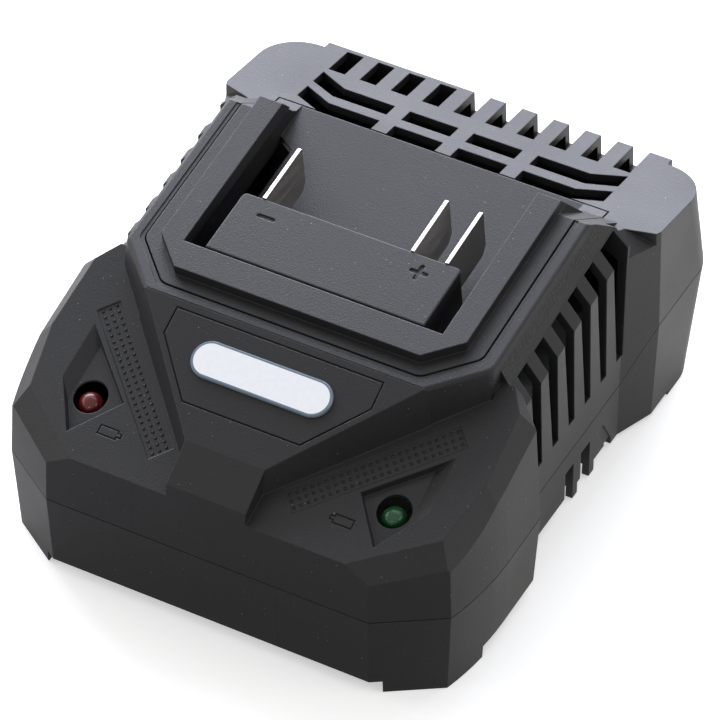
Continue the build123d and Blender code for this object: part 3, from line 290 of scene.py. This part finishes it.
def useGroup(tree, group, coords, **values):
    node = addNode(tree, "ShaderNodeGroup", node_tree=group)
    tree.links.new(coords, node.inputs["Coords"])
    for label, value in values.items():
        node.inputs[label].default_value = value
    return node.outputs


def bumpInto(tree, skin, height, distance, normal=None):
    bump = addNode(tree, "ShaderNodeBump")
    bump.inputs["Strength"].default_value = 1.0
    bump.inputs["Distance"].default_value = distance
    tree.links.new(height, bump.inputs["Height"])
    if normal is not None:
        tree.links.new(normal, bump.inputs["Normal"])
    tree.links.new(bump.outputs["Normal"], skin["Normal"])


# materials
caseLook = {
    "base": (0.0095, 0.0095, 0.0102), "lighter": 1.7, "specular": 0.28,
    "worn": (0.04, 0.04, 0.043), "wornAmount": 0.28, "edge": 0.00035,
    "dust": (0.26, 0.26, 0.25), "dustShare": 0.2, "dustAmount": 0.6,
    "rough": 0.47, "smoother": 0.03, "rougher": 0.04, "grain": 3200.0, "bump": 0.000035,
    "lines": (), "lineColour": (0.001, 0.001, 0.001), "lineAmount": 0.8, "pebbles": 0.0,
}
frontLines = ((-0.0172, 0.0215, 0.034), (0.0161, 0.003, 0.0208))  # across, low, high


def mouldedPlastic(name, **changes):
    look = dict(caseLook, **changes)
    material, tree, skin, coords = startMaterial(name, Specular_IOR_Level=look["specular"])
    grain = useGroup(tree, mouldGrain, coords, Scale=look["grain"])
    wear = useGroup(tree, edgeWear, coords, Radius=look["edge"])
    specks = useGroup(tree, dustSpecks, coords, Share=look["dustShare"])
    lighter = tuple(c * look["lighter"] for c in look["base"])
    colour = mixColour(tree, grain["Tone"], look["base"], lighter)
    colour = mixColour(tree, product(tree, wear["Mask"], look["wornAmount"]), colour, look["worn"])
    colour = mixColour(tree, product(tree, specks["Mask"], look["dustAmount"]), colour, look["dust"])
    for across, low, high in look["lines"]:
        line = useGroup(tree, mouldLine, coords, Across=across, Low=low, High=high)
        amount = product(tree, line["Mask"], look["lineAmount"])
        colour = mixColour(tree, amount, colour, look["lineColour"])
    tree.links.new(colour, skin["Base Color"])
    smoothest, roughest = look["rough"] - look["smoother"], look["rough"] + look["rougher"]
    tree.links.new(remap(tree, grain["Cloud"], 0.0, 1.0, smoothest, roughest), skin["Roughness"])
    height = grain["Height"]
    if look["pebbles"]:
        band = useGroup(tree, pebbledBand, coords)
        height = maths(tree, "MULTIPLY_ADD", band["Height"], look["pebbles"] / look["bump"], height)
    bumpInto(tree, skin, height, look["bump"], normal=wear["Normal"])
    return material


casePlastic = mouldedPlastic("charcoalCase", lines=frontLines, pebbles=0.00014)
blockPlastic = mouldedPlastic("charcoalBlock", base=(0.0105, 0.0105, 0.011), rough=0.45, dustShare=0.35)
inletPlastic = mouldedPlastic("inletBlack", base=(0.012, 0.012, 0.012), rough=0.4, dustShare=0.1)
nylonPlastic = mouldedPlastic("nylonBlack", base=(0.01, 0.01, 0.01), rough=0.5, dustShare=0.0)
epoxyBlack = mouldedPlastic("epoxyBlack", base=(0.014, 0.014, 0.014), rough=0.6, grain=5000.0,
                            dustShare=0.1)
sheathRubber = mouldedPlastic("sheathRubber", base=(0.012, 0.012, 0.013), rough=0.55, grain=2000.0,
                              dustShare=0.1)


metalLook = {
    "colour": (0.7, 0.7, 0.7), "streak": 0.82, "rough": 0.3, "smoother": 0.06, "rougher": 0.08,
    "stretch": (1.0, 0.06, 1.0), "scale": 3000.0, "detail": 3.0, "low": 0.3, "high": 0.7,
    "bump": 0.000006, "edge": 0.0002,
}


def brushedMetal(name, **changes):
    look = dict(metalLook, **changes)
    material, tree, skin, coords = startMaterial(name, Metallic=1.0)
    mapping = addNode(tree, "ShaderNodeMapping")
    mapping.inputs["Scale"].default_value = look["stretch"]
    tree.links.new(coords, mapping.inputs["Vector"])
    lines = addTexture(tree, "ShaderNodeTexNoise", mapping.outputs["Vector"], {
        "Scale": look["scale"], "Detail": look["detail"]})["Fac"]
    wear = useGroup(tree, edgeWear, coords, Radius=look["edge"])
    darker = tuple(c * look["streak"] for c in look["colour"])
    tree.links.new(mixColour(tree, lines, darker, look["colour"]), skin["Base Color"])
    smoothest, roughest = look["rough"] - look["smoother"], look["rough"] + look["rougher"]
    rough = remap(tree, lines, look["low"], look["high"], smoothest, roughest)
    tree.links.new(rough, skin["Roughness"])
    bumpInto(tree, skin, lines, look["bump"], normal=wear["Normal"])
    return material


bladeMetal = brushedMetal("bladeNickel", colour=(0.60, 0.575, 0.54), rough=0.34,
                          stretch=(1.0, 0.05, 0.5), scale=1600.0, streak=0.92, bump=0.0000015)
screwMetal = brushedMetal("screwZinc", colour=(0.62, 0.62, 0.60), rough=0.34, stretch=(1.0, 1.0, 0.1))
legMetal = brushedMetal("legTin", colour=(0.72, 0.72, 0.71), stretch=(1.0, 1.0, 0.1))
sinkMetal = brushedMetal("sinkAluminium", colour=(0.75, 0.75, 0.76), rough=0.38)
fuseMetal = brushedMetal("fuseNickel", colour=(0.72, 0.68, 0.58), rough=0.25)
copperWire = brushedMetal("enamelledCopper", colour=(0.55, 0.24, 0.09), stretch=(1.0, 0.15, 1.0),
                          scale=1400.0)


badgeLook = {
    "face": (0.86, 0.88, 0.90), "shade": (0.82, 0.84, 0.87), "rim": (0.13, 0.17, 0.22), "rimWide": 0.0006,
    "grain": 900.0, "smoothest": 0.28, "roughest": 0.36, "bump": 0.000004,
}


def makeBadgeWhite():
    look = badgeLook
    material, tree, skin, coords = startMaterial("badgeWhite")
    rim = useGroup(tree, pillRim, coords, Rim=look["rimWide"])
    grain = useGroup(tree, mouldGrain, coords, Scale=look["grain"])
    face = mixColour(tree, grain["Tone"], look["shade"], look["face"])
    tree.links.new(mixColour(tree, rim["Mask"], face, look["rim"]), skin["Base Color"])
    rough = remap(tree, grain["Cloud"], 0.0, 1.0, look["smoothest"], look["roughest"])
    tree.links.new(rough, skin["Roughness"])
    bumpInto(tree, skin, grain["Height"], look["bump"])
    return material


plainLook = {
    "tint": 0.12, "coat": 0.0, "coatRough": 0.08, "scale": 900.0, "bump": 0.00001,
    "smoother": 0.04, "rougher": 0.05,
}


def finePlain(name, colour, rough, **changes):
    look = dict(plainLook, **changes)
    material, tree, skin, coords = startMaterial(
        name, Coat_Weight=look["coat"], Coat_Roughness=look["coatRough"])
    grain = useGroup(tree, mouldGrain, coords, Scale=look["scale"])
    darker = tuple(c * (1.0 - look["tint"]) for c in colour)
    tree.links.new(mixColour(tree, grain["Tone"], darker, colour), skin["Base Color"])
    smoothest, roughest = rough - look["smoother"], rough + look["rougher"]
    tree.links.new(remap(tree, grain["Cloud"], 0.0, 1.0, smoothest, roughest), skin["Roughness"])
    bumpInto(tree, skin, grain["Height"], look["bump"])
    return material


badgeWhite = makeBadgeWhite()
# a green circuit board, its colour also pushed far darker than a real solder mask as painted shade, so the
# inside of the case reads black through the vents
boardGreenShadeDarkened = finePlain("boardGreenShadeDarkened", (0.004, 0.014, 0.007), 0.5, coat=0.05)
ferriteGrey = finePlain("ferriteGrey", (0.05, 0.05, 0.055), 0.5)
tapeYellow = finePlain("tapeYellow", (0.75, 0.55, 0.06), 0.4)
sleeveDark = finePlain("sleeveDark", (0.02, 0.03, 0.08), 0.25, coat=0.4)
filmBox = finePlain("filmBox", (0.65, 0.45, 0.05), 0.4)
labelGrey = finePlain("labelGrey", (0.35, 0.36, 0.38), 0.45, tint=0.05)


lensLook = {
    "Transmission_Weight": 0.2, "IOR": 1.5, "Roughness": 0.45, "Specular_IOR_Level": 0.1,
    "Coat_Weight": 0.55, "Coat_Roughness": 0.06,
}
lensHaze = {"Scale": 700.0}


def lampLens(name, colour, deep):
    material, tree, skin, coords = startMaterial(name, **lensLook)
    haze = addTexture(tree, "ShaderNodeTexNoise", coords, lensHaze)
    tree.links.new(mixColour(tree, haze["Fac"], deep, colour), skin["Base Color"])
    return material


redLens = lampLens("redLens", (0.14, 0.003, 0.0015), (0.085, 0.0015, 0.001))
greenLens = lampLens("greenLens", (0.005, 0.075, 0.018), (0.003, 0.048, 0.012))


glassLook = {
    "ior": 1.48, "colour": (0.97, 0.99, 0.99), "smeared": (0.9, 0.95, 0.95),
    "grain": 600.0, "smoothest": 0.02, "roughest": 0.08,
}


def makeFuseGlass():
    look = glassLook
    material, tree, skin, coords = startMaterial("fuseGlass", Transmission_Weight=1.0, IOR=look["ior"])
    smear = useGroup(tree, mouldGrain, coords, Scale=look["grain"])["Cloud"]
    tree.links.new(mixColour(tree, smear, look["smeared"], look["colour"]), skin["Base Color"])
    rough = remap(tree, smear, 0.0, 1.0, look["smoothest"], look["roughest"])
    tree.links.new(rough, skin["Roughness"])
    return material


fuseGlass = makeFuseGlass()

finishes = {
    "housing": casePlastic, "housing_block": blockPlastic, "plated_blade": bladeMetal,
    "red_lens": redLens, "green_lens": greenLens, "tinned_leg": legMetal, "black_nylon": nylonPlastic,
    "badge_face": badgeWhite, "circuit_board": boardGreenShadeDarkened, "zinc_screw": screwMetal,
    "ferrite": ferriteGrey, "taped_winding": tapeYellow, "enamelled_wire": copperWire,
    "capacitor_sleeve": sleeveDark, "sink_metal": sinkMetal, "moulded_epoxy": epoxyBlack,
    "film_box": filmBox, "fuse_glass": fuseGlass, "fuse_metal": fuseMetal,
    "inlet_plastic": inletPlastic, "lead_sheath": sheathRubber, "blank_label": labelGrey,
}
for row in frame["record"]["subparts"]:
    for slotOfPart in nodes[row["node"]].material_slots:
        slotOfPart.material = finishes[row["material_slot"]]
print("finishes given to", len(nodes), "nodes")


def finishPiece(name, shape, material):
    bmesh.ops.remove_doubles(shape, verts=shape.verts, dist=0.000001)
    bmesh.ops.recalc_face_normals(shape, faces=shape.faces)
    mesh = bpy.data.meshes.new(name)
    shape.to_mesh(mesh)
    shape.free()
    mesh.materials.append(material)
    piece = bpy.data.objects.new(name, mesh)
    bpy.context.scene.collection.objects.link(piece)
    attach(piece, "root")
    return piece


# the sloped front panel that carries the grip strips, in millimetres
panel = {"frontY": 0.8, "frontZ": 34.6, "rise": 0.365, "centreY": 65.1}
panelTilt = math.atan(panel["rise"])


def onPanel(x, y, lift):
    z = panel["frontZ"] + panel["rise"] * (y - panel["frontY"])
    return Vector((x, y - panel["centreY"] - lift * math.sin(panelTilt), z + lift * math.cos(panelTilt)))


grip = {
    "near": (16.6, 6.4), "far": (43.1, 31.5), "across": (-3.6, 3.85), "floor": 0.22, "margin": 0.75,
    "rows": 3, "perRow": 24, "rowsFrom": 0.07, "rowsSpan": 0.86,
    "footRadius": 0.527, "topRadius": 0.068, "height": 0.24, "sunk": 0.02, "turned": math.radians(45),
}


def makeGripStuds(side):
    shape = bmesh.new()
    start, end = Vector(grip["near"]), Vector(grip["far"])
    along = (end - start).normalized()
    across = Vector(grip["across"])
    length = (end - start).length - 2 * grip["margin"]
    lift = grip["height"] / 2 - grip["sunk"] - grip["floor"]
    turn = side * math.atan2(along.y, along.x) + grip["turned"]
    for row in range(grip["rows"]):
        share = (row + 0.5) / grip["rows"] * grip["rowsSpan"] + grip["rowsFrom"]
        for index in range(grip["perRow"]):
            run = grip["margin"] + length * index / (grip["perRow"] - 1)
            spot = start + along * run + across * share
            place = (Matrix.Translation(onPanel(side * spot.x, spot.y, lift))
                     @ Matrix.Rotation(panelTilt, 4, "X") @ Matrix.Rotation(turn, 4, "Z"))
            bmesh.ops.create_cone(shape, cap_ends=True, segments=4, radius1=grip["footRadius"],
                                  radius2=grip["topRadius"], depth=grip["height"], matrix=place)
    bmesh.ops.scale(shape, vec=(mm, mm, mm), verts=shape.verts)
    return finishPiece("gripStuds" + ("Right" if side > 0 else "Left"), shape, casePlastic)


for side in (-1, 1):
    makeGripStuds(side)
print("grip studs made")


# stage, lamps and camera
# the darker front floor colour and the reduced front glow are painted shade on the floor in front of the
# case, seen only in reflections and bounced light
stageLook = {
    "floorSize": 4.0, "floorDrop": 0.0001, "floorRough": 0.9, "floorSpecular": 0.1,
    "floorSeen": (0.88, 0.88, 0.88), "floorSide": (0.70, 0.665, 0.62), "floorFrontShade": (0.40, 0.39, 0.39),
    "frontEdge": (-0.045, -0.072), "frontShadeShare": 0.4, "floorLift": 0.44,
    "worldLight": 0.52, "worldSeen": 1.0,
}


def seenDirectly(tree, path):
    # 1 where the camera, a reflection or glass looks straight at the backdrop
    direct = maths(tree, "ADD", path["Is Camera Ray"], path["Is Glossy Ray"])
    return maths(tree, "ADD", direct, path["Is Transmission Ray"], clamp=True)


def makeFloor():
    look = stageLook
    shape = bmesh.new()
    bmesh.ops.create_grid(shape, x_segments=1, y_segments=1, size=look["floorSize"])
    mesh = bpy.data.meshes.new("paleFloor")
    shape.to_mesh(mesh)
    shape.free()
    floor = bpy.data.objects.new("paleFloor", mesh)
    bpy.context.scene.collection.objects.link(floor)
    material, tree, skin, coords = startMaterial(
        "paleFloor", Roughness=look["floorRough"], Specular_IOR_Level=look["floorSpecular"],
        Emission_Color=(1.0, 1.0, 1.0))
    path = addNode(tree, "ShaderNodeLightPath").outputs
    # painted shade: in front of the case the floor turns darker for reflections and bounced light, while the
    # camera still sees it white
    frontShadeMask = remap(tree, splitAxes(tree, coords)[1], *look["frontEdge"])
    around = mixColour(tree, frontShadeMask, look["floorSide"], look["floorFrontShade"])
    plain = mixColour(tree, path["Is Camera Ray"], around, look["floorSeen"])
    tree.links.new(plain, skin["Base Color"])
    lift = product(tree, seenDirectly(tree, path), look["floorLift"])
    # painted shade: in front of the case the floor's glow in reflections drops to the front share
    shade = product(tree, frontShadeMask, maths(tree, "SUBTRACT", 1.0, path["Is Camera Ray"]))
    lift = product(tree, lift, remap(tree, shade, 0.0, 1.0, 1.0, look["frontShadeShare"]))
    tree.links.new(lift, skin["Emission Strength"])
    mesh.materials.append(material)
    floor.location.z = -look["floorDrop"]


lampSet = {
    "backBox": {"spot": (-0.62, 1.0, 0.62), "size": (1.7, 0.8), "power": 46.0, "tint": (0.83, 0.86, 1.0)},
    "overBox": {"spot": (-0.1, 0.62, 1.25), "size": (1.6, 0.6), "power": 4.5, "tint": (0.88, 0.91, 1.0)},
    "rightBox": {"spot": (1.25, 0.15, 0.55), "size": (0.9, 0.7), "power": 3.5, "tint": (1.0, 0.97, 0.93)},
    "sparkLeft": {"spot": (-0.73, -0.60, 0.36), "size": (0.06, 0.07), "power": 0.4, "tint": (1.0, 1.0, 1.0)},
    "sparkFront": {"spot": (0.13, -1.0, 0.44), "size": (0.06, 0.07), "power": 0.4, "tint": (1.0, 1.0, 1.0)},
    "leftBox": {"spot": (-1.25, -0.1, 0.6), "size": (0.9, 0.7), "power": 5.0, "tint": (1.0, 0.98, 0.96)},
}
lampAim = (0.0, 0.0, 0.03)


def pointAt(thing, place, target):
    thing.location = place
    thing.rotation_euler = (Vector(target) - Vector(place)).to_track_quat("-Z", "Y").to_euler()
    bpy.context.scene.collection.objects.link(thing)


def makeLamp(name, settings):
    data = bpy.data.lights.new(name, "AREA")
    data.shape = "RECTANGLE"
    data.size, data.size_y = settings["size"]
    data.energy = settings["power"]
    data.color = settings["tint"]
    lamp = bpy.data.objects.new(name, data)
    lamp.visible_camera = False
    pointAt(lamp, settings["spot"], lampAim)


def makeWorld():
    world = bpy.data.worlds.new("paleRoom")
    world.use_nodes = True
    tree = world.node_tree
    back = tree.nodes["Background"]
    back.inputs["Color"].default_value = (1.0, 1.0, 1.0, 1.0)
    path = addNode(tree, "ShaderNodeLightPath").outputs
    extra = stageLook["worldSeen"] - stageLook["worldLight"]
    strength = maths(tree, "MULTIPLY_ADD", seenDirectly(tree, path), extra, stageLook["worldLight"])
    tree.links.new(strength, back.inputs["Strength"])
    bpy.context.scene.world = world


shot = {
    "place": (0.3698, -0.6819, 0.7372), "target": (0.00415, -0.00694, 0.03107),
    "lens": 250.47, "sensor": 36.0, "near": 0.05, "far": 50.0,
}


def makeCamera():
    data = bpy.data.cameras.new("shotCamera")
    data.lens = shot["lens"]
    data.sensor_width = shot["sensor"]
    data.clip_start = shot["near"]
    data.clip_end = shot["far"]
    camera = bpy.data.objects.new("shotCamera", data)
    pointAt(camera, shot["place"], shot["target"])
    return camera


makeFloor()
for lampName, lampSettings in lampSet.items():
    makeLamp(lampName, lampSettings)
makeWorld()
bpy.context.scene.camera = makeCamera()
bpy.context.scene.view_settings.view_transform = "Standard"
print("stage, lamps and camera ready")
